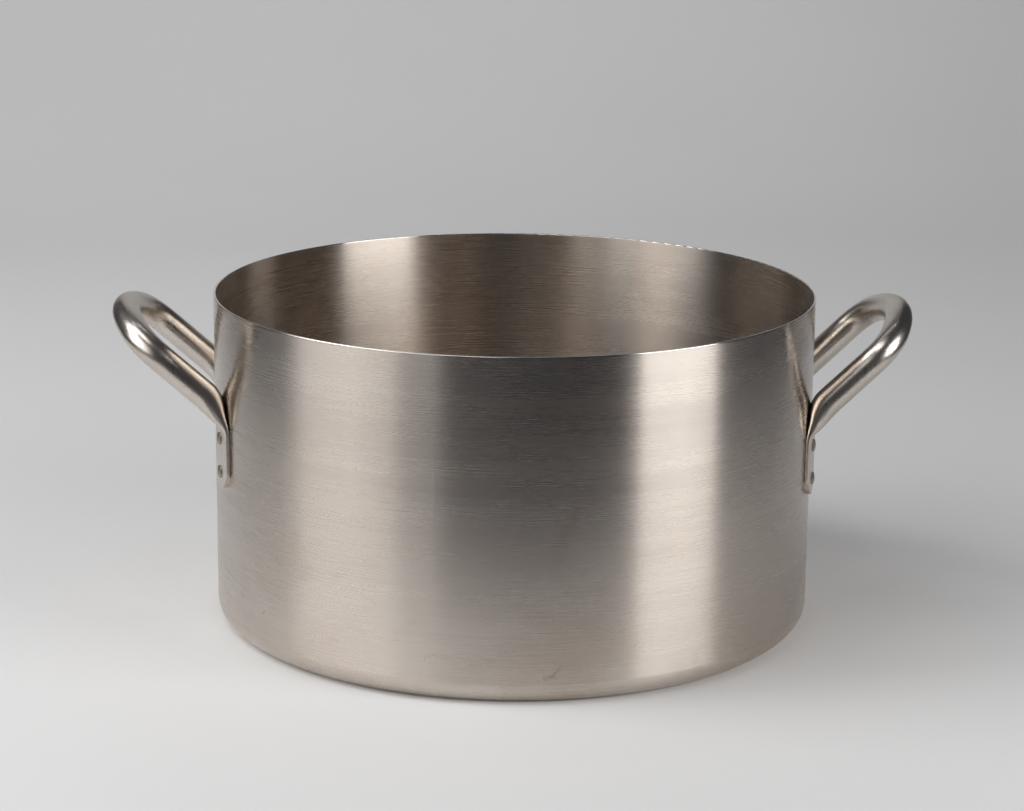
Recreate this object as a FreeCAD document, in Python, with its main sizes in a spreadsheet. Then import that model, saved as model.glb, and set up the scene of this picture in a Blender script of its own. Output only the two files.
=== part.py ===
import FreeCAD, Part
import math
import os
from FreeCAD import Vector, Placement, Rotation

# Stock pot: a straight-sided drawn stainless pan with two bent-tube loop
# handles.  Each handle is one tube, flattened at both ends into a tab that lies
# on the wall and is held by two solid rivets.
#
# Frame: millimetres, +Z up, origin at the centre of the base, on the surface
# the pot stands on.  The handles lie along +X and -X.

os.makedirs("parts", exist_ok=True)

doc = FreeCAD.newDocument("stock_pot")

# ---------------------------------------------------------------- dimensions
DIMS = [
    # pot body
    ("outer_radius", 201.5, "outside radius of the wall"),
    ("sheet_thick", 1.5, "thickness of the drawn sheet, wall and base"),
    ("pot_height", 223.0, "base underside to rim"),
    ("base_corner_radius", 14.0, "outside radius between wall and base"),
    ("rim_round", 0.5, "rounding of the two rim edges"),
    # handle tube
    ("tube_radius", 9.25, "outside radius of the handle tube"),
    ("tube_wall", 1.5, "wall thickness of the handle tube"),
    ("leg_half_spacing", 52.8, "centre plane of the handle to each leg"),
    ("right_slope", 44.0, "rise of the right loop above level, degrees"),
    ("left_slope", 41.7, "rise of the left loop above level, degrees"),
    ("right_reach", 87.0, "right root to the end of the loop, along the slope"),
    ("left_reach", 84.5, "left root to the end of the loop, along the slope"),
    ("right_root_height", 148.0, "height where the right leg meets its tab"),
    ("left_root_height", 155.0, "height where the left leg meets its tab"),
    ("right_turn", -1.2, "right handle, turned about the pot's axis, degrees"),
    ("left_turn", 1.2, "left handle, turned about the pot's axis, degrees"),
    ("corner_bend_radius", 26.0, "bend radius at the two corners of the loop"),
    ("corner_bend_turn", 61.5, "turn of each corner bend, degrees"),
    ("neck_bend_radius", 22.0, "outer bend radius where leg turns into tab"),
    # tabs
    ("tab_thick", 3.0, "thickness of the flattened end"),
    ("tab_drop", 53.0, "root height down to the rounded end of the tab"),
    ("tab_top_drop", 17.5, "root height down to the top of the flat"),
    ("seat_trim", 0.15, "pressed in and trimmed where the tab meets the wall"),
    # rivets
    ("lower_rivet_drop", 42.2, "root height down to the lower rivet"),
    ("upper_rivet_drop", 19.6, "root height down to the upper rivet"),
    ("shank_radius", 2.5, "rivet shank"),
    ("outer_head_radius", 4.1, "peened head on the tab"),
    ("outer_head_side", 0.75, "straight side of the peened head"),
    ("outer_head_height", 1.7, "peened head above the tab"),
    ("inner_head_radius", 6.0, "flat head inside the pot"),
    ("inner_head_side", 0.5, "straight side of the inside head"),
    ("inner_head_height", 1.3, "inside head above the wall"),
]

dims = doc.addObject("Spreadsheet::Sheet", "dims")
dims.set("A1", "dimension")
dims.set("B1", "value")
dims.set("C1", "meaning")
for i, (name, value, meaning) in enumerate(DIMS):
    row = i + 2
    dims.set("A%d" % row, name)
    dims.set("B%d" % row, "%g" % value)
    dims.set("C%d" % row, meaning)
    dims.setAlias("B%d" % row, name)
doc.recompute()


def val(name):
    return float(getattr(dims, name))


# tab centre angle away from the handle's own axis, as an expression
TAB_ANGLE = "asin(dims.leg_half_spacing / (dims.outer_radius + dims.tab_thick / 2))"
tab_angle = math.asin(val("leg_half_spacing") / (val("outer_radius") + val("tab_thick") / 2))
right_turn = math.radians(val("right_turn"))
left_turn = math.pi + math.radians(val("left_turn"))


def origin_plane(body, role):
    for feat in body.Origin.OriginFeatures:
        if feat.Role == role:
            return feat
    raise RuntimeError("no " + role)


def bind(obj, prop, expression):
    obj.setExpression(prop, expression)


# ------------------------------------------------------------------ pot body
# One drawn and trimmed sheet: flat base, rounded corner, straight wall.
R = val("outer_radius")
T = val("sheet_thick")
H = val("pot_height")
RC = val("base_corner_radius")

pot = doc.addObject("PartDesign::Body", "pot_body")
pot.Label = "pot_body"
prof = pot.newObject("Sketcher::SketchObject", "pot_profile")
prof.AttachmentSupport = [(origin_plane(pot, "XZ_Plane"), "")]
prof.MapMode = "FlatFace"


def seg(x0, y0, x1, y1):
    return Part.LineSegment(Vector(x0, y0, 0), Vector(x1, y1, 0))


def arc(cx, cy, r, a0, a1):
    return Part.ArcOfCircle(Part.Circle(Vector(cx, cy, 0), Vector(0, 0, 1), r), a0, a1)


import Sketcher

C = Sketcher.Constraint
prof.addGeometry([
    seg(0, 0, R - RC, 0),                              # 0 underside
    arc(R - RC, RC, RC, -math.pi / 2, 0),              # 1 outside corner
    seg(R, RC, R, H),                                  # 2 outside wall
    seg(R, H, R - T, H),                               # 3 rim
    seg(R - T, H, R - T, RC),                          # 4 inside wall
    arc(R - RC, RC, RC - T, -math.pi / 2, 0),          # 5 inside corner
    seg(R - RC, T, 0, T),                              # 6 inside floor
    seg(0, T, 0, 0),                                   # 7 on the axis
], False)
prof.addConstraint([
    C("Coincident", 0, 1, -1, 1),
    C("Tangent", 0, 2, 1, 1),
    C("Tangent", 1, 2, 2, 1),
    C("Coincident", 2, 2, 3, 1),
    C("Coincident", 3, 2, 4, 1),
    C("Tangent", 4, 2, 5, 2),
    C("Tangent", 5, 1, 6, 1),
    C("Coincident", 6, 2, 7, 1),
    C("Coincident", 7, 2, 0, 1),
    C("Coincident", 1, 3, 5, 3),
    C("Horizontal", 0),
    C("Vertical", 2),
    C("Horizontal", 3),
    C("Vertical", 7),
])
for name, expr, con in (
        ("out_r", "dims.outer_radius", C("DistanceX", -1, 1, 2, 2, R)),
        ("tall", "dims.pot_height", C("DistanceY", -1, 1, 2, 2, H)),
        ("corner", "dims.base_corner_radius", C("Radius", 1, RC)),
        ("sheet", "dims.sheet_thick", C("DistanceX", 3, 2, 3, 1, T))):
    n = prof.addConstraint(con)
    prof.renameConstraint(n, name)
    bind(prof, "Constraints." + name, expr)

rev = pot.newObject("PartDesign::Revolution", "pot_drawn")
rev.Profile = prof
rev.ReferenceAxis = (prof, ["V_Axis"])
rev.Angle = 360
doc.recompute()

rim_edges = []
for i, e in enumerate(rev.Shape.Edges):
    b = e.BoundBox
    if b.ZMin > H - 0.01 and b.ZLength < 0.01 and b.XLength > R:
        rim_edges.append("Edge%d" % (i + 1))
assert len(rim_edges) == 2, rim_edges
rim = pot.newObject("PartDesign::Fillet", "rim_rounding")
rim.Base = (rev, rim_edges)
rim.Radius = val("rim_round")
bind(rim, "Radius", "dims.rim_round")
doc.recompute()

# Rivet holes: a pair, one above the other, under each of the four tabs.
# side -> (name, azimuth expression, azimuth in radians, root height alias)
TABS = [
    ("right_front", "dims.right_turn * 1 deg - " + TAB_ANGLE, right_turn - tab_angle, "right_root_height"),
    ("right_back", "dims.right_turn * 1 deg + " + TAB_ANGLE, right_turn + tab_angle, "right_root_height"),
    ("left_back", "180 deg + dims.left_turn * 1 deg - " + TAB_ANGLE, left_turn - tab_angle, "left_root_height"),
    ("left_front", "180 deg + dims.left_turn * 1 deg + " + TAB_ANGLE, left_turn + tab_angle, "left_root_height"),
]
previous = rim
for tab_name, az_expr, az, root in TABS:
    sk = pot.newObject("Sketcher::SketchObject", tab_name + "_hole_sketch")
    sk.AttachmentSupport = [(origin_plane(pot, "YZ_Plane"), "")]
    sk.MapMode = "FlatFace"
    # turned about the pot's axis, so that the sketch faces the tab
    sk.AttachmentOffset = Placement(Vector(0, 0, 0), Rotation(Vector(0, 1, 0), math.degrees(az)))
    bind(sk, "AttachmentOffset.Rotation.Angle", az_expr)
    zs = [val(root) - val("lower_rivet_drop"), val(root) - val("upper_rivet_drop")]
    for k, (z, drop) in enumerate(zip(zs, ("lower_rivet_drop", "upper_rivet_drop"))):
        g = sk.addGeometry(Part.Circle(Vector(0, z, 0), Vector(0, 0, 1), val("shank_radius")), False)
        sk.addConstraint(C("PointOnObject", g, 3, -2))
        n = sk.addConstraint(C("DistanceY", -1, 1, g, 3, z))
        sk.renameConstraint(n, "height_%d" % k)
        bind(sk, "Constraints.height_%d" % k, "dims.%s - dims.%s" % (root, drop))
        n = sk.addConstraint(C("Radius", g, val("shank_radius")))
        sk.renameConstraint(n, "hole_%d" % k)
        bind(sk, "Constraints.hole_%d" % k, "dims.shank_radius")
    doc.recompute()
    before = previous.Shape.Volume
    pk = pot.newObject("PartDesign::Pocket", tab_name + "_holes")
    pk.Profile = sk
    pk.Type = 0
    pk.Length = R + 10
    bind(pk, "Length", "dims.outer_radius + 10")
    want = 2 * math.pi * val("shank_radius") ** 2 * T
    cut = 0.0
    for flip in (False, True):
        pk.Reversed = flip
        doc.recompute()
        if "Invalid" not in pk.State and not pk.Shape.isNull():
            cut = before - pk.Shape.Volume
            if abs(cut - want) < 0.05 * want:
                break
    assert abs(cut - want) < 0.05 * want, (tab_name, cut, want)
    previous = pk
pot.Tip = previous
doc.recompute()


# ------------------------------------------------------------------- handles
def turn_z(v, a):
    return Vector(v.x * math.cos(a) - v.y * math.sin(a), v.x * math.sin(a) + v.y * math.cos(a), v.z)


def smooth(t):
    t = max(0.0, min(1.0, t))
    return t * t * (3 - 2 * t)


def stadium(half_thick, perimeter, count):
    """Points (n, l) round a flattened tube of a given half thickness.

    The flattened section keeps the tube's own perimeter, so it gets wider as it
    gets thinner.  The points are evenly spaced round it, from the middle of the
    +n side towards +l.
    """
    flat = max(0.0, (perimeter - 2 * math.pi * half_thick) / 2)   # length of each flat side
    out = []
    for k in range(count):
        d = perimeter * k / count
        if d < flat / 2:
            out.append((half_thick, d))
            continue
        d -= flat / 2
        end = math.pi * half_thick
        if d < end:
            a = d / half_thick
            out.append((half_thick * math.cos(a), flat / 2 + half_thick * math.sin(a)))
            continue
        d -= end
        if d < flat:
            out.append((-half_thick, flat / 2 - d))
            continue
        d -= flat
        if d < end:
            a = d / half_thick
            out.append((-half_thick * math.cos(a), -flat / 2 - half_thick * math.sin(a)))
            continue
        d -= end
        out.append((half_thick, -flat / 2 + d))
    return out


def walk(path, s):
    """Point at distance s along a list of 2-D points."""
    for (x0, z0), (x1, z1) in zip(path[:-1], path[1:]):
        d = math.hypot(x1 - x0, z1 - z0)
        if s <= d or (x1, z1) == path[-1]:
            return (x0 + (x1 - x0) * s / d, z0 + (z1 - z0) * s / d)
        s -= d
    return path[-1]


def length(path):
    return sum(math.hypot(b[0] - a[0], b[1] - a[1]) for a, b in zip(path[:-1], path[1:]))


def bent(p0, corner, p1, radius, steps=24):
    """p0 -> corner -> p1 with the corner rounded to a radius."""
    ax, az = p0[0] - corner[0], p0[1] - corner[1]
    bx, bz = p1[0] - corner[0], p1[1] - corner[1]
    la, lb = math.hypot(ax, az), math.hypot(bx, bz)
    ax, az, bx, bz = ax / la, az / la, bx / lb, bz / lb
    inner = math.acos(max(-1, min(1, ax * bx + az * bz)))
    tl = radius / math.tan(inner / 2)
    cx, cz = ax + bx, az + bz
    lc = math.hypot(cx, cz)
    k = radius / math.sin(inner / 2)
    cx, cz = corner[0] + cx / lc * k, corner[1] + cz / lc * k
    s = (corner[0] + ax * tl, corner[1] + az * tl)
    e = (corner[0] + bx * tl, corner[1] + bz * tl)
    a0 = math.atan2(s[1] - cz, s[0] - cx)
    a1 = math.atan2(e[1] - cz, e[0] - cx)
    while a1 - a0 > math.pi:
        a1 -= 2 * math.pi
    while a1 - a0 < -math.pi:
        a1 += 2 * math.pi
    pts = [p0]
    for k in range(steps + 1):
        a = a0 + (a1 - a0) * k / steps
        pts.append((cx + radius * math.cos(a), cz + radius * math.sin(a)))
    pts.append(p1)
    return pts


def handle_sections(slope, reach, root_z):
    """Closed sections of half a handle, from its tab's foot to the middle of the loop.

    The handle lies along +X, and this is its half towards -Y.  A section is a
    list of points; all have the same count and start on the side that faces
    up, or the pot.
    """
    count = 72
    r = val("tube_radius")
    per = 2 * math.pi * r
    s = val("leg_half_spacing")
    tt = val("tab_thick")
    trim = val("seat_trim")
    al = math.radians(slope)
    phi = tab_angle
    mid = val("outer_radius") + tt / 2
    xm = mid * math.cos(phi)                 # tab's middle surface, in the leg's plane
    back, front = xm - tt / 2 - trim, xm + tt / 2
    foot = root_z - val("tab_drop") - 4.0    # the rounded end is cut from this stock
    top = root_z - val("tab_top_drop")       # flat below, flares above
    rb = val("neck_bend_radius")
    ca, sa = math.cos(al), math.sin(al)

    # outline of the neck in the leg's plane: the side that faces up or the pot,
    # and the side underneath
    up_corner = (back, root_z + (back - xm) * sa / ca + r / ca)
    dn_corner = (front, root_z + (front - xm) * sa / ca - r / ca)
    tl = rb / math.tan((math.pi / 2 + al) / 2)
    u_end = (up_corner[0] - xm) * ca + (up_corner[1] - root_z) * sa + tl + 2.0
    b_end = (xm + u_end * ca - r * sa, root_z + u_end * sa + r * ca)
    f_end = (xm + u_end * ca + r * sa, root_z + u_end * sa - r * ca)
    b_path = bent((back, top), up_corner, b_end, rb)
    f_path = bent((front, top), dn_corner, f_end, 6.0)

    half = []                                # (centre, n axis, l axis, half thickness, hug)
    n_tab = 6
    for k in range(n_tab):                   # the tab itself, straight up
        z = foot + (top - 1.0 - foot) * k / (n_tab - 1)
        half.append(((back + front) / 2, z, -1.0, 0.0, 0.0, (tt + trim) / 2))
    n_neck = 12
    lb, lf = length(b_path), length(f_path)
    for k in range(n_neck + 1):
        t = k / n_neck
        b = walk(b_path, t * lb)
        f = walk(f_path, t * lf)
        dx, dz = b[0] - f[0], b[1] - f[1]
        d = math.hypot(dx, dz)
        half.append(((b[0] + f[0]) / 2, (b[1] + f[1]) / 2, dx / d, dz / d, smooth(t * 1.25), d / 2))

    # plan of the loop in the sloped plane: leg, corner bend, crown, corner, leg
    r1 = val("corner_bend_radius")
    th = math.radians(val("corner_bend_turn"))
    r2 = (s - r1 * (1 - math.cos(th))) / math.cos(th)
    uc = reach - r1 * math.sin(th) - r2 * (1 - math.sin(th))
    plan = []
    n_leg, n_cor, n_cro = 6, 7, 6
    for k in range(1, n_leg):
        plan.append((u_end + (uc - u_end) * k / n_leg, -s, 1.0, 0.0))
    for k in range(n_cor + 1):
        a = th * k / n_cor
        plan.append((uc + r1 * math.sin(a), -s + r1 * (1 - math.cos(a)), math.cos(a), math.sin(a)))
    uo = uc + (r1 - r2) * math.sin(th)
    for k in range(1, n_cro + 1):
        a = th + (math.pi / 2 - th) * k / n_cro
        plan.append((uo + r2 * math.sin(a), -r2 * math.cos(a), math.cos(a), math.sin(a)))

    sections = []
    for x, z, nx, nz, untwist, h in half:
        tw = -phi * (1 - untwist)
        n_axis = turn_z(Vector(nx, 0, nz), tw)
        l_axis = turn_z(Vector(0, -1, 0), tw)
        off = (mid - (back + front) / 2 / math.cos(phi)) * (1 - untwist)
        c = Vector(x, -s + off * math.sin(phi), z)
        pts = []
        for n, l in stadium(h, per, count):
            hug = (l * l) / (2 * mid) * (1 - untwist)
            pts.append(c + n_axis * n + l_axis * l + n_axis * hug)
        sections.append(pts)
    e_u = Vector(ca, 0, sa)
    e_v = Vector(0, 1, 0)
    e_n = Vector(-sa, 0, ca)
    o = Vector(xm, 0, root_z)
    for u, v, tu, tv in plan:
        c = o + e_u * u + e_v * v
        out = e_u * tv - e_v * tu            # away from the middle of the loop
        pts = []
        for n, l in stadium(r, per, count):
            pts.append(c + e_n * n + out * l)
        sections.append(pts)
    return sections, (u_end, uc, r1, r2, th)


def skin(sections):
    wires = []
    for pts in sections:
        curve = Part.BSplineCurve()
        curve.interpolate(Points=pts, PeriodicFlag=True,
                          Parameters=[k / len(pts) for k in range(len(pts) + 1)])
        wires.append(Part.Wire([curve.toShape()]))
    return Part.makeLoft(wires, True, False)


def tab_cutters(side, root):
    """Tools that round off the foot of one tab and make its rivet holes."""
    tools = []
    # everything below the tab's rounded end
    half_w = "(pi * dims.tube_radius - pi * dims.tab_thick / 2) / 2 + dims.tab_thick / 2"
    hw = (math.pi * val("tube_radius") - math.pi * val("tab_thick") / 2) / 2 + val("tab_thick") / 2
    blk = doc.addObject("Part::Box", side + "_foot_block")
    blk.Length, blk.Width, blk.Height = 30, 40, 40
    zc = val(root) - val("tab_drop") + hw
    blk.Placement = Placement(Vector(R - 10, -20, zc - 40), Rotation())
    bind(blk, "Placement.Base.x", "dims.outer_radius - 10")
    bind(blk, "Placement.Base.z", "dims.%s - dims.tab_drop + %s - 40" % (root, half_w))
    cyl = doc.addObject("Part::Cylinder", side + "_foot_round")
    cyl.Radius, cyl.Height = hw, 50
    cyl.Placement = Placement(Vector(R - 20, 0, zc), Rotation(Vector(0, 1, 0), 90))
    bind(cyl, "Radius", half_w)
    bind(cyl, "Placement.Base.x", "dims.outer_radius - 20")
    bind(cyl, "Placement.Base.z", "dims.%s - dims.tab_drop + %s" % (root, half_w))
    cut = doc.addObject("Part::Cut", side + "_foot_cutter")
    cut.Base, cut.Tool = blk, cyl
    cut.Placement = Placement(Vector(0, 0, 0), Rotation(Vector(0, 0, 1), -math.degrees(tab_angle)))
    bind(cut, "Placement.Rotation.Angle", "-" + TAB_ANGLE)
    tools.append(cut)
    for which in ("lower", "upper"):
        hole = doc.addObject("Part::Cylinder", side + "_" + which + "_drill")
        hole.Radius, hole.Height = val("shank_radius"), R + 10
        bind(hole, "Radius", "dims.shank_radius")
        bind(hole, "Height", "dims.outer_radius + 10")
        z = val(root) - val(which + "_rivet_drop")
        lift = Placement(Vector(0, 0, z), Rotation())
        aim = Placement(Vector(0, 0, 0), Rotation(Vector(0, 0, 1), -math.degrees(tab_angle)))
        lay = Placement(Vector(0, 0, 0), Rotation(Vector(0, 1, 0), 90))
        hole.Placement = lift.multiply(aim).multiply(lay)
        bind(hole, "Placement.Base.z", "dims.%s - dims.%s_rivet_drop" % (root, which))
        tools.append(hole)
    return tools


def bore_body(side, slope_alias, root, reach_alias, marks):
    """The hollow inside of the tube, as a pipe along the loop."""
    u_end, uc, r1, r2, th = marks
    s = val("leg_half_spacing")
    xm = (val("outer_radius") + val("tab_thick") / 2) * math.cos(tab_angle)
    xm_expr = "sqrt((dims.outer_radius + dims.tab_thick / 2)^2 - dims.leg_half_spacing^2)"
    body = doc.addObject("PartDesign::Body", side + "_handle_bore")
    path = body.newObject("Sketcher::SketchObject", side + "_bore_path")
    path.AttachmentSupport = [(origin_plane(body, "XY_Plane"), "")]
    path.MapMode = "FlatFace"
    path.AttachmentOffset = Placement(Vector(xm, 0, val(root)), Rotation(Vector(0, -1, 0), val(slope_alias)))
    bind(path, "AttachmentOffset.Base.x", xm_expr)
    bind(path, "AttachmentOffset.Base.z", "dims." + root)
    bind(path, "AttachmentOffset.Rotation.Angle", "dims.%s * 1 deg" % slope_alias)
    u0 = u_end + 1.0
    q = uc + (r1 - r2) * math.sin(th)
    path.addGeometry([
        seg(u0, -s, uc, -s),
        arc(uc, -s + r1, r1, -math.pi / 2, -math.pi / 2 + th),
        arc(q, 0, r2, -(math.pi / 2 - th), math.pi / 2 - th),
        arc(uc, s - r1, r1, math.pi / 2 - th, math.pi / 2),
        seg(uc, s, u0, s),
    ], False)
    path.addConstraint([
        C("Tangent", 0, 2, 1, 1),
        C("Tangent", 1, 2, 2, 1),
        C("Tangent", 2, 2, 3, 1),
        C("Tangent", 3, 2, 4, 1),
        C("Horizontal", 0),
        C("Horizontal", 4),
        C("PointOnObject", 2, 3, -1),
    ])
    for name, expr, con in (
            ("near_leg", "dims.leg_half_spacing", C("DistanceY", 0, 1, -1, 1, s)),
            ("far_leg", "dims.leg_half_spacing", C("DistanceY", -1, 1, 4, 2, s)),
            ("bend", "dims.corner_bend_radius", C("Radius", 1, r1)),
            ("bend_two", "dims.corner_bend_radius", C("Radius", 3, r1))):
        n = path.addConstraint(con)
        path.renameConstraint(n, name)
        bind(path, "Constraints." + name, expr)
    # the crown's radius follows from the corner bend's turn
    n = path.addConstraint(C("Radius", 2, r2))
    path.renameConstraint(n, "crown")
    crown = ("(dims.leg_half_spacing - dims.corner_bend_radius * (1 - cos(dims.corner_bend_turn * 1 deg)))"
             " / cos(dims.corner_bend_turn * 1 deg)")
    bind(path, "Constraints.crown", crown)
    n = path.addConstraint(C("DistanceX", -1, 1, 2, 3, q))
    path.renameConstraint(n, "crown_centre")
    bind(path, "Constraints.crown_centre", "dims.%s - %s" % (reach_alias, crown))
    n = path.addConstraint(C("DistanceX", -1, 1, 0, 1, u0))
    path.renameConstraint(n, "near_start")
    n = path.addConstraint(C("DistanceX", -1, 1, 4, 2, u0))
    path.renameConstraint(n, "far_start")

    ring = body.newObject("Sketcher::SketchObject", side + "_bore_ring")
    ring.AttachmentSupport = [(origin_plane(body, "YZ_Plane"), "")]
    ring.MapMode = "FlatFace"
    al = math.radians(val(slope_alias))
    # this plane's own axes are pot Y, pot Z, pot X
    ring.AttachmentOffset = Placement(
        Vector(-s, val(root) + u0 * math.sin(al), xm + u0 * math.cos(al)),
        Rotation(Vector(-1, 0, 0), val(slope_alias)))
    bind(ring, "AttachmentOffset.Base.x", "-dims.leg_half_spacing")
    bind(ring, "AttachmentOffset.Rotation.Angle", "dims.%s * 1 deg" % slope_alias)
    g = ring.addGeometry(Part.Circle(Vector(0, 0, 0), Vector(0, 0, 1), val("tube_radius") - val("tube_wall")), False)
    ring.addConstraint(C("Coincident", g, 3, -1, 1))
    n = ring.addConstraint(C("Radius", g, val("tube_radius") - val("tube_wall")))
    ring.renameConstraint(n, "bore")
    bind(ring, "Constraints.bore", "dims.tube_radius - dims.tube_wall")
    doc.recompute()
    pipe = body.newObject("PartDesign::AdditivePipe", side + "_bore_pipe")
    pipe.Profile = ring
    pipe.Spine = (path, ["Edge%d" % (k + 1) for k in range(5)])
    doc.recompute()
    line = sum(e.Length for e in path.Shape.Edges)
    want = line * math.pi * (val("tube_radius") - val("tube_wall")) ** 2
    got = body.Shape.Volume
    assert abs(got - want) < 0.01 * want, ("bore", got, want)
    return body


def make_handle(side, slope_alias, root, reach_alias, name):
    sections, marks = handle_sections(val(slope_alias), val(reach_alias), val(root))
    raw = doc.addObject("Part::Feature", side + "_handle_stock")
    raw.Shape = skin(sections)
    seat = doc.addObject("Part::Cylinder", side + "_handle_seat")
    seat.Radius, seat.Height = R, H
    bind(seat, "Radius", "dims.outer_radius")
    bind(seat, "Height", "dims.pot_height")
    last = raw
    for k, tool in enumerate([seat] + tab_cutters(side, root)):
        cut = doc.addObject("Part::Cut", "%s_handle_cut_%d" % (side, k))
        cut.Base, cut.Tool = last, tool
        doc.recompute()
        last = cut
    other = doc.addObject("Part::Mirroring", side + "_handle_far_half")
    other.Source = last
    other.Base = Vector(0, 0, 0)
    other.Normal = Vector(0, 1, 0)
    whole = doc.addObject("Part::Fuse", side + "_handle_tube")
    whole.Base, whole.Tool = last, other
    doc.recompute()
    bore = bore_body(side, slope_alias, root, reach_alias, marks)
    handle = doc.addObject("Part::Cut", name)
    handle.Label = name
    handle.Base, handle.Tool = whole, bore
    # drawn along +X, then turned to its own side
    turn_expr, turn = {
        "right": ("dims.right_turn * 1 deg", right_turn),
        "left": ("180 deg + dims.left_turn * 1 deg", left_turn)}[side]
    handle.Placement = Placement(Vector(0, 0, 0), Rotation(Vector(0, 0, 1), math.degrees(turn)))
    bind(handle, "Placement.Rotation.Angle", turn_expr)
    doc.recompute()
    return handle


right_handle = make_handle("right", "right_slope", "right_root_height", "right_reach", "right_handle")
left_handle = make_handle("left", "left_slope", "left_root_height", "left_reach", "left_handle")

# -------------------------------------------------------------------- rivets
# A solid rivet pointing along +X: low flat head inside the pot, shank through
# wall and tab, peened head outside.  Both heads are seated on the round wall.
RI = R - T
RO = R + val("tab_thick")
sr = val("shank_radius")
ohr, ohs, ohh = val("outer_head_radius"), val("outer_head_side"), val("outer_head_height")
ihr, ihs, ihh = val("inner_head_radius"), val("inner_head_side"), val("inner_head_height")
blank = doc.addObject("PartDesign::Body", "rivet_blank")
rp = blank.newObject("Sketcher::SketchObject", "rivet_profile")
rp.AttachmentSupport = [(origin_plane(blank, "XY_Plane"), "")]
rp.MapMode = "FlatFace"
BED = 0.4                                              # depth of the seat cut from each head


def arc3(x0, y0, xm_, ym_, x1, y1):
    return Part.Arc(Vector(x0, y0, 0), Vector(xm_, ym_, 0), Vector(x1, y1, 0))


def bulge(x_side, r_side, x_top):
    """Mid point of the crowned end of a head, between its side and its top."""
    h = abs(x_top - x_side)
    rad = (r_side ** 2 + h ** 2) / (2 * h)
    a = math.asin(min(1.0, r_side / rad)) / 2
    sgn = 1 if x_top > x_side else -1
    cx = x_top - sgn * rad
    return (cx + sgn * rad * math.cos(a), rad * math.sin(a))


mo = bulge(RO + ohs, ohr, RO + ohh)
mi = bulge(RI - ihs, ihr, RI - ihh)
rp.addGeometry([
    seg(RI - ihh, 0, RO + ohh, 0),                     # 0 axis
    arc3(RO + ohh, 0, mo[0], mo[1], RO + ohs, ohr),    # 1 crown outside
    seg(RO + ohs, ohr, RO - BED, ohr),                 # 2 side
    seg(RO - BED, ohr, RO - BED, sr),                  # 3 under the head
    seg(RO - BED, sr, RI + BED, sr),                   # 4 shank
    seg(RI + BED, sr, RI + BED, ihr),                  # 5 under the inside head
    seg(RI + BED, ihr, RI - ihs, ihr),                 # 6 side
    arc3(RI - ihs, ihr, mi[0], mi[1], RI - ihh, 0),    # 7 crown inside
], False)


def near(sk, geo, x, y):
    """Which end of a sketch element lies at a point."""
    for pos in (1, 2):
        p = sk.getPoint(geo, pos)
        if math.hypot(p.x - x, p.y - y) < 1e-4:
            return pos
    raise RuntimeError("no end")


joints = [(0, 1, RO + ohh, 0), (1, 2, RO + ohs, ohr), (2, 3, RO - BED, ohr), (3, 4, RO - BED, sr),
          (4, 5, RI + BED, sr), (5, 6, RI + BED, ihr), (6, 7, RI - ihs, ihr), (7, 0, RI - ihh, 0)]
for a, b, x, y in joints:
    rp.addConstraint(C("Coincident", a, near(rp, a, x, y), b, near(rp, b, x, y)))
rp.addConstraint([
    C("PointOnObject", 0, 1, -1), C("PointOnObject", 0, 2, -1),
    C("Horizontal", 2), C("Vertical", 3), C("Horizontal", 4), C("Vertical", 5), C("Horizontal", 6),
    C("PointOnObject", 1, 3, -1), C("PointOnObject", 7, 3, -1),
])
for name, expr, con in (
        ("outer_top", "dims.outer_radius + dims.tab_thick + dims.outer_head_height", C("DistanceX", -1, 1, 0, 2, RO + ohh)),
        ("outer_side", "dims.outer_radius + dims.tab_thick + dims.outer_head_side", C("DistanceX", -1, 1, 2, 1, RO + ohs)),
        ("outer_bed", "dims.outer_radius + dims.tab_thick - 0.4", C("DistanceX", -1, 1, 2, 2, RO - BED)),
        ("outer_head", "dims.outer_head_radius", C("DistanceY", -1, 1, 2, 1, ohr)),
        ("shank", "dims.shank_radius", C("DistanceY", -1, 1, 4, 1, sr)),
        ("inner_bed", "dims.outer_radius - dims.sheet_thick + 0.4", C("DistanceX", -1, 1, 5, 2, RI + BED)),
        ("inner_head", "dims.inner_head_radius", C("DistanceY", -1, 1, 6, 1, ihr)),
        ("inner_side", "dims.outer_radius - dims.sheet_thick - dims.inner_head_side", C("DistanceX", -1, 1, 6, 2, RI - ihs)),
        ("inner_top", "dims.outer_radius - dims.sheet_thick - dims.inner_head_height", C("DistanceX", -1, 1, 0, 1, RI - ihh))):
    n = rp.addConstraint(con)
    rp.renameConstraint(n, name)
    bind(rp, "Constraints." + name, expr)
spin = blank.newObject("PartDesign::Revolution", "rivet_turned")
spin.Profile = rp
spin.ReferenceAxis = (rp, ["H_Axis"])
spin.Angle = 360
doc.recompute()

outer_cyl = doc.addObject("Part::Cylinder", "rivet_outer_seat")
outer_cyl.Radius, outer_cyl.Height = RO, 40
outer_cyl.Placement = Placement(Vector(0, 0, -20), Rotation())
bind(outer_cyl, "Radius", "dims.outer_radius + dims.tab_thick")
inner_cyl = doc.addObject("Part::Cylinder", "rivet_inner_seat")
inner_cyl.Radius, inner_cyl.Height = RI, 40
inner_cyl.Placement = Placement(Vector(0, 0, -20), Rotation())
bind(inner_cyl, "Radius", "dims.outer_radius - dims.sheet_thick")
shell = doc.addObject("Part::Cut", "rivet_grip_ring")
shell.Base, shell.Tool = outer_cyl, inner_cyl
shank_hole = doc.addObject("Part::Cylinder", "rivet_grip_hole")
shank_hole.Radius, shank_hole.Height = sr, R + 20
shank_hole.Placement = Placement(Vector(0, 0, 0), Rotation(Vector(0, 1, 0), 90))
bind(shank_hole, "Radius", "dims.shank_radius")
bind(shank_hole, "Height", "dims.outer_radius + 20")
grip = doc.addObject("Part::Cut", "rivet_grip")
grip.Base, grip.Tool = shell, shank_hole
rivet = doc.addObject("Part::Cut", "rivet_set")
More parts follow.
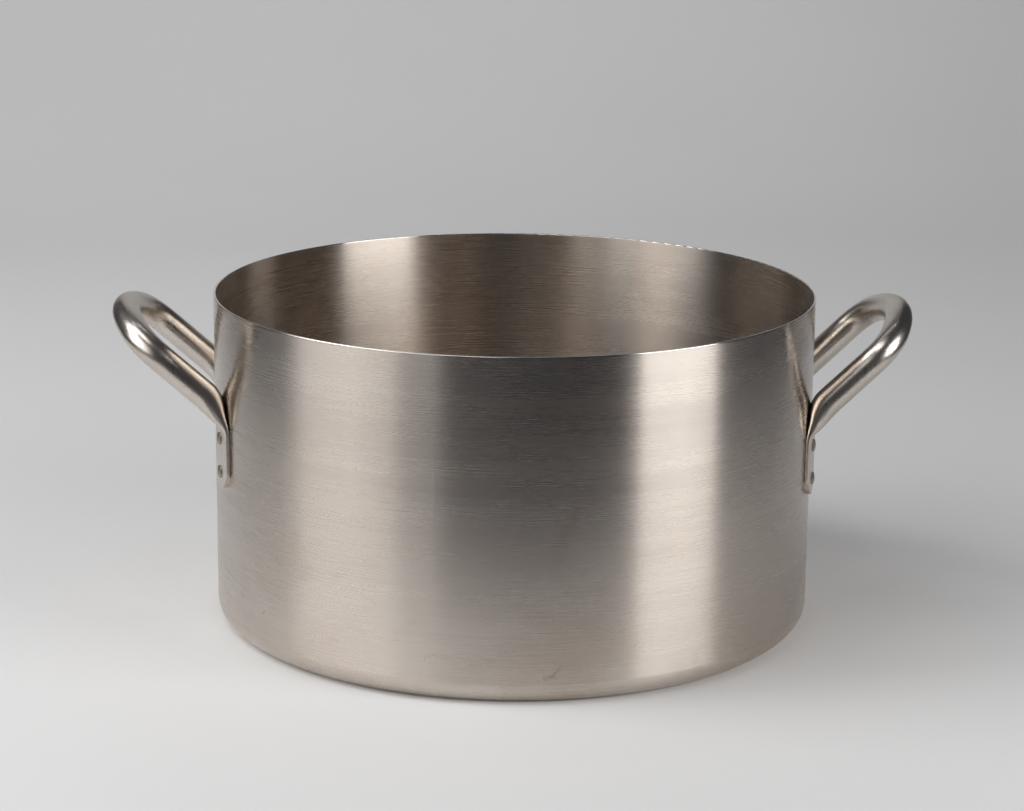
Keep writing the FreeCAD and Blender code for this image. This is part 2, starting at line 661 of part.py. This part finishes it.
rivet.Base, rivet.Tool = blank, grip
doc.recompute()

rivets = []
for tab_name, az_expr, az, root in TABS:
    for which in ("upper", "lower"):
        obj = doc.addObject("Part::Compound", "%s_%s_rivet" % (tab_name, which))
        obj.Label = "%s_%s_rivet" % (tab_name, which)
        obj.Links = [rivet]
        obj.Placement = Placement(Vector(0, 0, val(root) - val(which + "_rivet_drop")),
                                  Rotation(Vector(0, 0, 1), math.degrees(az)))
        bind(obj, "Placement.Base.z", "dims.%s - dims.%s_rivet_drop" % (root, which))
        bind(obj, "Placement.Rotation.Angle", az_expr)
        rivets.append(obj)
doc.recompute()

# -------------------------------------------------------------------- output
parts = [pot, right_handle, left_handle] + rivets
for obj in doc.Objects:
    bad = [st for st in obj.State if st in ("Invalid", "Error")]
    if bad:
        raise RuntimeError("%s: %s" % (obj.Name, bad))
for obj in parts:
    shape = obj.Shape
    if shape.isNull() or not shape.isValid() or len(shape.Solids) != 1:
        raise RuntimeError("%s: bad shape, %d solids" % (obj.Label, len(shape.Solids)))
for obj in parts:
    obj.Shape.exportStep("parts/%s.step" % obj.Label)
    b = obj.Shape.BoundBox
    print("%-28s %10.1f mm3  x %.2f..%.2f  y %.2f..%.2f  z %.2f..%.2f" % (
        obj.Label, obj.Shape.Volume, b.XMin, b.XMax, b.YMin, b.YMax, b.ZMin, b.ZMax))
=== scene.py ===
import math

import bmesh
import bpy
from mathutils import Matrix, Vector


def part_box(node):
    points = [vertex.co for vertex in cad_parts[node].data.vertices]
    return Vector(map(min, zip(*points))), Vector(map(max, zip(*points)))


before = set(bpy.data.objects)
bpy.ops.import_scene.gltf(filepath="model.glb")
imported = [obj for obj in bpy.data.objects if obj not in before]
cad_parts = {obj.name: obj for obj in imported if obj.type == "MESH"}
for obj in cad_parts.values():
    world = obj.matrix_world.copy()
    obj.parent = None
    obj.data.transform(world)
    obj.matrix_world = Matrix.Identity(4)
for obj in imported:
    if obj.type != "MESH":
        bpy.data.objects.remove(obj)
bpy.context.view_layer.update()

POT_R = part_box("pot_body")[1][0]
POT_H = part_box("pot_body")[1][2]

# ------------------------------------------------------------------- helpers


class Nodes:
    """Small helper round a node tree."""

    def __init__(self, tree):
        self.t = tree
        self.x = 0

    def add(self, kind, **props):
        n = self.t.nodes.new(kind)
        self.x += 40
        n.location = (self.x, 0)
        for k, v in props.items():
            setattr(n, k, v)
        return n

    def put(self, socket, value):
        if isinstance(value, bpy.types.NodeSocket):
            self.t.links.new(value, socket)
        elif value is not None:
            socket.default_value = value

    def math(self, op, a, b=None, c=None, clamp=False):
        n = self.add("ShaderNodeMath", operation=op, use_clamp=clamp)
        self.put(n.inputs[0], a)
        if b is not None:
            self.put(n.inputs[1], b)
        if c is not None:
            self.put(n.inputs[2], c)
        return n.outputs[0]

    def ramp(self, value, lo, hi, out_lo=0.0, out_hi=1.0, smooth=True):
        n = self.add("ShaderNodeMapRange", interpolation_type="SMOOTHSTEP" if smooth else "LINEAR", clamp=True)
        self.put(n.inputs["Value"], value)
        n.inputs["From Min"].default_value = lo
        n.inputs["From Max"].default_value = hi
        n.inputs["To Min"].default_value = out_lo
        n.inputs["To Max"].default_value = out_hi
        return n.outputs["Result"]

    def noise(self, vector, scale, detail=3.0, rough=0.55, distortion=0.0):
        n = self.add("ShaderNodeTexNoise")
        self.put(n.inputs["Vector"], vector)
        n.inputs["Scale"].default_value = scale
        n.inputs["Detail"].default_value = detail
        n.inputs["Roughness"].default_value = rough
        n.inputs["Distortion"].default_value = distortion
        return n.outputs["Fac"]

    def vec(self, x, y, z):
        n = self.add("ShaderNodeCombineXYZ")
        for s, v in zip(n.inputs, (x, y, z)):
            self.put(s, v)
        return n.outputs[0]

    def mix(self, fac, a, b, blend="MIX"):
        n = self.add("ShaderNodeMix", data_type="RGBA", blend_type=blend)
        self.put(n.inputs[0], fac)
        for s, v in ((n.inputs[6], a), (n.inputs[7], b)):
            if isinstance(v, tuple):
                v = (v[0], v[1], v[2], 1.0)
            self.put(s, v)
        return n.outputs[2]


def new_material(name):
    m = bpy.data.materials.new(name)
    m.use_nodes = True
    m.node_tree.nodes.clear()
    n = Nodes(m.node_tree)
    bsdf = n.add("ShaderNodeBsdfPrincipled")
    out = n.add("ShaderNodeOutputMaterial")
    n.t.links.new(bsdf.outputs[0], out.inputs[0])
    return m, n, bsdf


# ----------------------------------------------------------------- materials
def pot_steel():
    """Satin stainless sheet, brushed round the pot, with light use."""
    m, n, b = new_material("pot_brushed_steel")
    pos = n.add("ShaderNodeNewGeometry").outputs["Position"]
    sep = n.add("ShaderNodeSeparateXYZ")
    n.put(sep.inputs[0], pos)
    x, y, z = sep.outputs
    r = n.math("SQRT", n.math("ADD", n.math("MULTIPLY", x, x), n.math("MULTIPLY", y, y)))
    h = n.math("ADD", z, r)                      # runs up the wall, and outwards over the base
    ang = n.math("ARCTAN2", x, n.math("MULTIPLY", y, -1.0))

    def lines(across, along, detail, rough):
        v = n.vec(n.math("MULTIPLY", x, along), n.math("MULTIPLY", y, along), n.math("MULTIPLY", h, across))
        return n.noise(v, 1.0, detail, rough)

    fine = lines(2300.0, 28.0, 2.0, 0.6)         # hair lines of the brushing
    medium = lines(1100.0, 13.0, 2.0, 0.5)
    wide = lines(90.0, 3.5, 2.0, 0.5)            # faint bands left by the polishing wheel
    cloud = n.noise(pos, 9.0, 4.0, 0.6)          # handling and heat tint
    spots = n.noise(pos, 38.0, 3.0, 0.7)
    blotch = n.noise(pos, 15.0, 2.0, 0.45, 0.4)  # soft brown stains

    grain = n.math("ADD", n.math("MULTIPLY", fine, 0.5), n.math("MULTIPLY", medium, 0.5))

    base = n.mix(n.ramp(cloud, 0.35, 0.68), (0.630, 0.570, 0.515), (0.585, 0.521, 0.466))
    base = n.mix(n.ramp(grain, 0.34, 0.66, 0.0, 0.21), base, (0.50, 0.447, 0.398))
    # heat tint low on the wall and on the base
    low = n.math("MULTIPLY", n.ramp(z, 0.075, 0.004), n.ramp(cloud, 0.38, 0.62))
    base = n.mix(n.math("MULTIPLY", low, 0.35), base, (0.52, 0.43, 0.365))
    base = n.mix(n.math("MULTIPLY", n.ramp(spots, 0.60, 0.74), 0.22), base, (0.45, 0.38, 0.33))
    base = n.mix(n.math("MULTIPLY", n.ramp(blotch, 0.56, 0.72), 0.40), base, (0.50, 0.425, 0.37))

    # a few scuffs: short strokes given by angle and height
    scuff = None
    for a0, z0, a1, z1, wid in (
            (0.045, 0.0180, 0.072, 0.0200, 0.0018), (0.072, 0.0200, 0.096, 0.0262, 0.0012),
            (0.530, 0.0060, 0.541, 0.0095, 0.0010), (-0.330, 0.0280, -0.290, 0.0330, 0.0006),
            (-0.980, 0.0330, -0.972, 0.0345, 0.0010), (-0.300, 0.1510, -0.298, 0.1180, 0.0003),
            (-0.563, 0.1455, -0.561, 0.1450, 0.0009), (-0.914, 0.1846, -0.910, 0.1842, 0.0010),
            (0.330, 0.0350, 0.352, 0.0385, 0.0006), (-2.630, 0.1965, -2.604, 0.1930, 0.0014),
            (2.300, 0.0600, 2.380, 0.0720, 0.0010), (-2.500, 0.1200, -2.440, 0.1160, 0.0008),
            (3.020, 0.0300, 3.060, 0.0440, 0.0012)):
        px = n.math("MULTIPLY", n.math("SUBTRACT", ang, a0), POT_R)
        pz = n.math("SUBTRACT", z, z0)
        dx, dz = (a1 - a0) * POT_R, z1 - z0
        ll = dx * dx + dz * dz
        t = n.math("ADD", n.math("MULTIPLY", px, dx / ll), n.math("MULTIPLY", pz, dz / ll), clamp=True)
        ex = n.math("SUBTRACT", px, n.math("MULTIPLY", t, dx))
        ez = n.math("SUBTRACT", pz, n.math("MULTIPLY", t, dz))
        d = n.math("SQRT", n.math("ADD", n.math("MULTIPLY", ex, ex), n.math("MULTIPLY", ez, ez)))
        s = n.ramp(d, wid, wid * 0.25)
        scuff = s if scuff is None else n.math("MAXIMUM", scuff, s)
    wall = n.ramp(r, POT_R - 0.0180, POT_R - 0.0120)
    scuff = n.math("MULTIPLY", n.math("MULTIPLY", scuff, wall), n.ramp(n.noise(pos, 260.0, 2.0, 0.6), 0.36, 0.56, 0.25, 1.0))
    base2 = n.mix(n.math("MULTIPLY", scuff, 0.45), base, (0.36, 0.27, 0.22))

    # roughness: brushed faces, smoother cut rim; the rim's base colour is also lightened as a painted
    # highlight
    rim_polish_highlight = n.ramp(z, POT_H - 0.0011, POT_H - 0.0004)
    # painted highlight: lighter base colour along the rim's top edge to give its bright line
    base2 = n.mix(n.math("MULTIPLY", rim_polish_highlight, 0.7), base2, (0.82, 0.78, 0.73))
    n.put(b.inputs["Base Color"], base2)
    rough = n.math("ADD", 0.270, n.math("MULTIPLY", n.math("SUBTRACT", grain, 0.5), 0.085))
    rough = n.math("ADD", rough, n.math("MULTIPLY", n.math("SUBTRACT", cloud, 0.5), 0.07))
    rough = n.math("ADD", rough, n.math("MULTIPLY", n.math("SUBTRACT", wide, 0.5), 0.05))
    rough = n.math("ADD", rough, n.math("MULTIPLY", scuff, 0.05))
    rough = n.math("SUBTRACT", rough, n.math("MULTIPLY", rim_polish_highlight, 0.12))
    n.put(b.inputs["Roughness"], rough)

    hgt = n.math("ADD", n.math("MULTIPLY", fine, 0.55), n.math("MULTIPLY", medium, 0.65))
    hgt = n.math("MULTIPLY", hgt, n.ramp(r, POT_R - 0.0012, POT_R - 0.0004, 0.4, 1.0))   # finer finish inside
    hgt = n.math("MULTIPLY", hgt, n.math("SUBTRACT", 1.0, rim_polish_highlight))
    bump = n.add("ShaderNodeBump")
    bump.inputs["Strength"].default_value = 0.14
    bump.inputs["Distance"].default_value = 0.00004
    n.put(bump.inputs["Height"], hgt)
    n.put(b.inputs["Normal"], bump.outputs[0])

    tan = n.add("ShaderNodeTangent", direction_type="RADIAL", axis="Z")
    n.put(b.inputs["Tangent"], tan.outputs[0])
    b.inputs["Metallic"].default_value = 1.0
    b.inputs["Anisotropic"].default_value = 0.94
    b.inputs["Anisotropic Rotation"].default_value = 0.25
    return m


def handle_steel():
    """Satin-polished tube."""
    m, n, b = new_material("handle_satin_steel")
    pos = n.add("ShaderNodeNewGeometry").outputs["Position"]
    cloud = n.noise(pos, 28.0, 4.0, 0.6)
    hair = n.add("ShaderNodeMapping")
    hair.inputs["Scale"].default_value = (380.0, 2400.0, 380.0)
    n.put(hair.inputs[0], pos)
    grain = n.noise(hair.outputs[0], 1.0, 3.0, 0.6)
    spots = n.noise(pos, 120.0, 3.0, 0.7)
    base = n.mix(n.ramp(cloud, 0.35, 0.66), (0.665, 0.612, 0.555), (0.600, 0.545, 0.488))
    base = n.mix(n.ramp(grain, 0.36, 0.66, 0.0, 0.30), base, (0.52, 0.475, 0.42))
    base = n.mix(n.math("MULTIPLY", n.ramp(spots, 0.62, 0.78), 0.15), base, (0.46, 0.41, 0.37))
    n.put(b.inputs["Base Color"], base)
    rough = n.math("ADD", 0.300, n.math("MULTIPLY", n.math("SUBTRACT", grain, 0.5), 0.16))
    rough = n.math("ADD", rough, n.math("MULTIPLY", n.math("SUBTRACT", cloud, 0.5), 0.10))
    n.put(b.inputs["Roughness"], rough)
    bump = n.add("ShaderNodeBump")
    bump.inputs["Strength"].default_value = 0.16
    bump.inputs["Distance"].default_value = 0.00005
    n.put(bump.inputs["Height"], n.math("ADD", grain, n.math("MULTIPLY", spots, 0.25)))
    n.put(b.inputs["Normal"], bump.outputs[0])
    b.inputs["Metallic"].default_value = 1.0
    return m


def rivet_steel():
    """Peened rivet heads: duller and darker, with hammer marks."""
    m, n, b = new_material("rivet_peened_steel")
    pos = n.add("ShaderNodeNewGeometry").outputs["Position"]
    dents = n.noise(pos, 420.0, 2.0, 0.5)
    dirt = n.noise(pos, 900.0, 3.0, 0.7)
    base = n.mix(n.ramp(dents, 0.35, 0.65), (0.43, 0.385, 0.345), (0.30, 0.26, 0.23))
    base = n.mix(n.math("MULTIPLY", n.ramp(dirt, 0.55, 0.7), 0.5), base, (0.19, 0.155, 0.135))
    n.put(b.inputs["Base Color"], base)
    n.put(b.inputs["Roughness"], n.math("ADD", 0.33, n.math("MULTIPLY", dirt, 0.16)))
    bump = n.add("ShaderNodeBump")
    bump.inputs["Strength"].default_value = 0.5
    bump.inputs["Distance"].default_value = 0.0004
    n.put(bump.inputs["Height"], dents)
    n.put(b.inputs["Normal"], bump.outputs[0])
    b.inputs["Metallic"].default_value = 1.0
    return m


STEEL = {"pot": pot_steel(), "handle": handle_steel(), "rivet": rivet_steel()}
for name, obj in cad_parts.items():
    mat = STEEL["rivet" if name.endswith("rivet") else "handle" if name.endswith("handle") else "pot"]
    for slot in obj.material_slots:
        slot.link = "OBJECT"
        slot.material = mat


# --------------------------------------------------------------------- stage
def stage_material(name, colour, rough):
    m, n, b = new_material(name)
    pos = n.add("ShaderNodeNewGeometry").outputs["Position"]
    soft = n.noise(pos, 3.0, 2.0, 0.5)
    c = n.mix(n.ramp(soft, 0.3, 0.7), colour, tuple(v * 0.985 for v in colour))
    n.put(b.inputs["Base Color"], c)
    b.inputs["Roughness"].default_value = rough
    b.inputs["Specular IOR Level"].default_value = 0.25
    return m


def sweep():
    """A pale table that runs up into a plain backdrop."""
    prof = []
    y0, y1, rad, top = -0.42, 1.35, 1.7, 3.2
    for k in range(9):
        prof.append((y0 + (y1 - y0) * k / 8, 0.0))
    for k in range(1, 25):
        a = math.pi / 2 * k / 24
        prof.append((y1 + rad * math.sin(a), rad * (1 - math.cos(a))))
    prof.append((y1 + rad, top))
    bm = bmesh.new()
    rows = []
    for y, z in prof:
        lo, hi = -0.66 - 0.16 * (y - y0), 0.57 + 0.27 * (y - y0)
        rows.append([bm.verts.new((lo + (hi - lo) * i / 8, y, z)) for i in range(9)])
    for a, b in zip(rows[:-1], rows[1:]):
        for i in range(8):
            bm.faces.new((a[i], a[i + 1], b[i + 1], b[i]))
    me = bpy.data.meshes.new("sweep")
    bm.to_mesh(me)
    bm.free()
    for p in me.polygons:
        p.use_smooth = True
    o = bpy.data.objects.new("sweep", me)
    bpy.context.scene.collection.objects.link(o)
    me.materials.append(stage_material("pale_paper", (0.80, 0.80, 0.80), 0.8))
    return o


sweep()


def softbox(name, azimuth, distance, height, width, tall, radiance, colour=(1, 1, 1), aim=0.12):
    """An area light at a compass angle round the pot; 0 is straight in front, + is to the right."""
    a = math.radians(azimuth)
    loc = Vector((distance * math.sin(a), -distance * math.cos(a), height))
    lamp = bpy.data.lights.new(name, "AREA")
    lamp.shape = "RECTANGLE"
    lamp.size = width
    lamp.size_y = tall
    lamp.energy = radiance * math.pi * width * tall
    lamp.color = colour
    o = bpy.data.objects.new(name, lamp)
    o.location = loc
    o.rotation_euler = (Vector((0, 0, aim)) - loc).to_track_quat("-Z", "Y").to_euler()
    bpy.context.scene.collection.objects.link(o)
    return o


softbox("left_softbox", -65.0, 1.60, 0.70, 1.28, 1.20, 1.55, (1.0, 0.995, 0.985))
softbox("left_wide_softbox", -60.0, 1.62, 0.70, 2.06, 1.20, 1.20, (1.0, 0.995, 0.985))
softbox("left_key", -88.0, 1.65, 1.60, 1.2, 0.9, 4.2, (1.0, 1.0, 1.0))
softbox("right_softbox", 57.0, 1.70, 0.60, 1.01, 0.96, 6.2, (1.0, 0.995, 0.985))
softbox("top_softbox", -52.0, 0.84, 2.02, 1.6, 0.5, 3.5, (1.0, 1.0, 1.0), aim=0.0)
softbox("backdrop_light", 192.0, 0.9, 2.6, 2.4, 0.6, 5.4, (1.0, 1.0, 1.0), aim=1.0).rotation_euler = (math.radians(62), 0, math.radians(8))

world = bpy.data.worlds.new("studio")
world.use_nodes = True
world.node_tree.nodes["Background"].inputs[0].default_value = (0.80, 0.82, 1.0, 1.0)
world.node_tree.nodes["Background"].inputs[1].default_value = 0.035
bpy.context.scene.world = world
bpy.context.scene.view_settings.view_transform = "Standard"
bpy.context.scene.view_settings.look = "None"
bpy.context.scene.view_settings.exposure = 0.0

# -------------------------------------------------------------------- camera
R_OUT = 0.2015
TURN = math.radians(3.4)
yaw, pitch, roll = -0.0006, -0.2491, 0.0097
fwd = Vector((math.sin(yaw) * math.cos(pitch), math.cos(yaw) * math.cos(pitch), math.sin(pitch)))
right = Vector((math.cos(yaw), -math.sin(yaw), 0))
up = right.cross(fwd)
r2 = math.cos(roll) * right + math.sin(roll) * up
u2 = -math.sin(roll) * right + math.cos(roll) * up
spin = Matrix.Rotation(-TURN, 3, "Z")
cols = [spin @ r2, spin @ u2, spin @ (-fwd)]
loc = spin @ Vector((0, -8.9858 * R_OUT, 2.9904 * R_OUT))
cam = bpy.data.cameras.new("camera")
cam.sensor_width = 36.0
cam.lens = 2749.55 * 36.0 / 1024.0
cam.clip_start = 0.05
cam.clip_end = 50.0
co = bpy.data.objects.new("camera", cam)
mw = Matrix(((cols[0].x, cols[1].x, cols[2].x, loc.x),
             (cols[0].y, cols[1].y, cols[2].y, loc.y),
             (cols[0].z, cols[1].z, cols[2].z, loc.z),
             (0, 0, 0, 1)))
co.matrix_world = mw
bpy.context.scene.collection.objects.link(co)
bpy.context.scene.camera = co
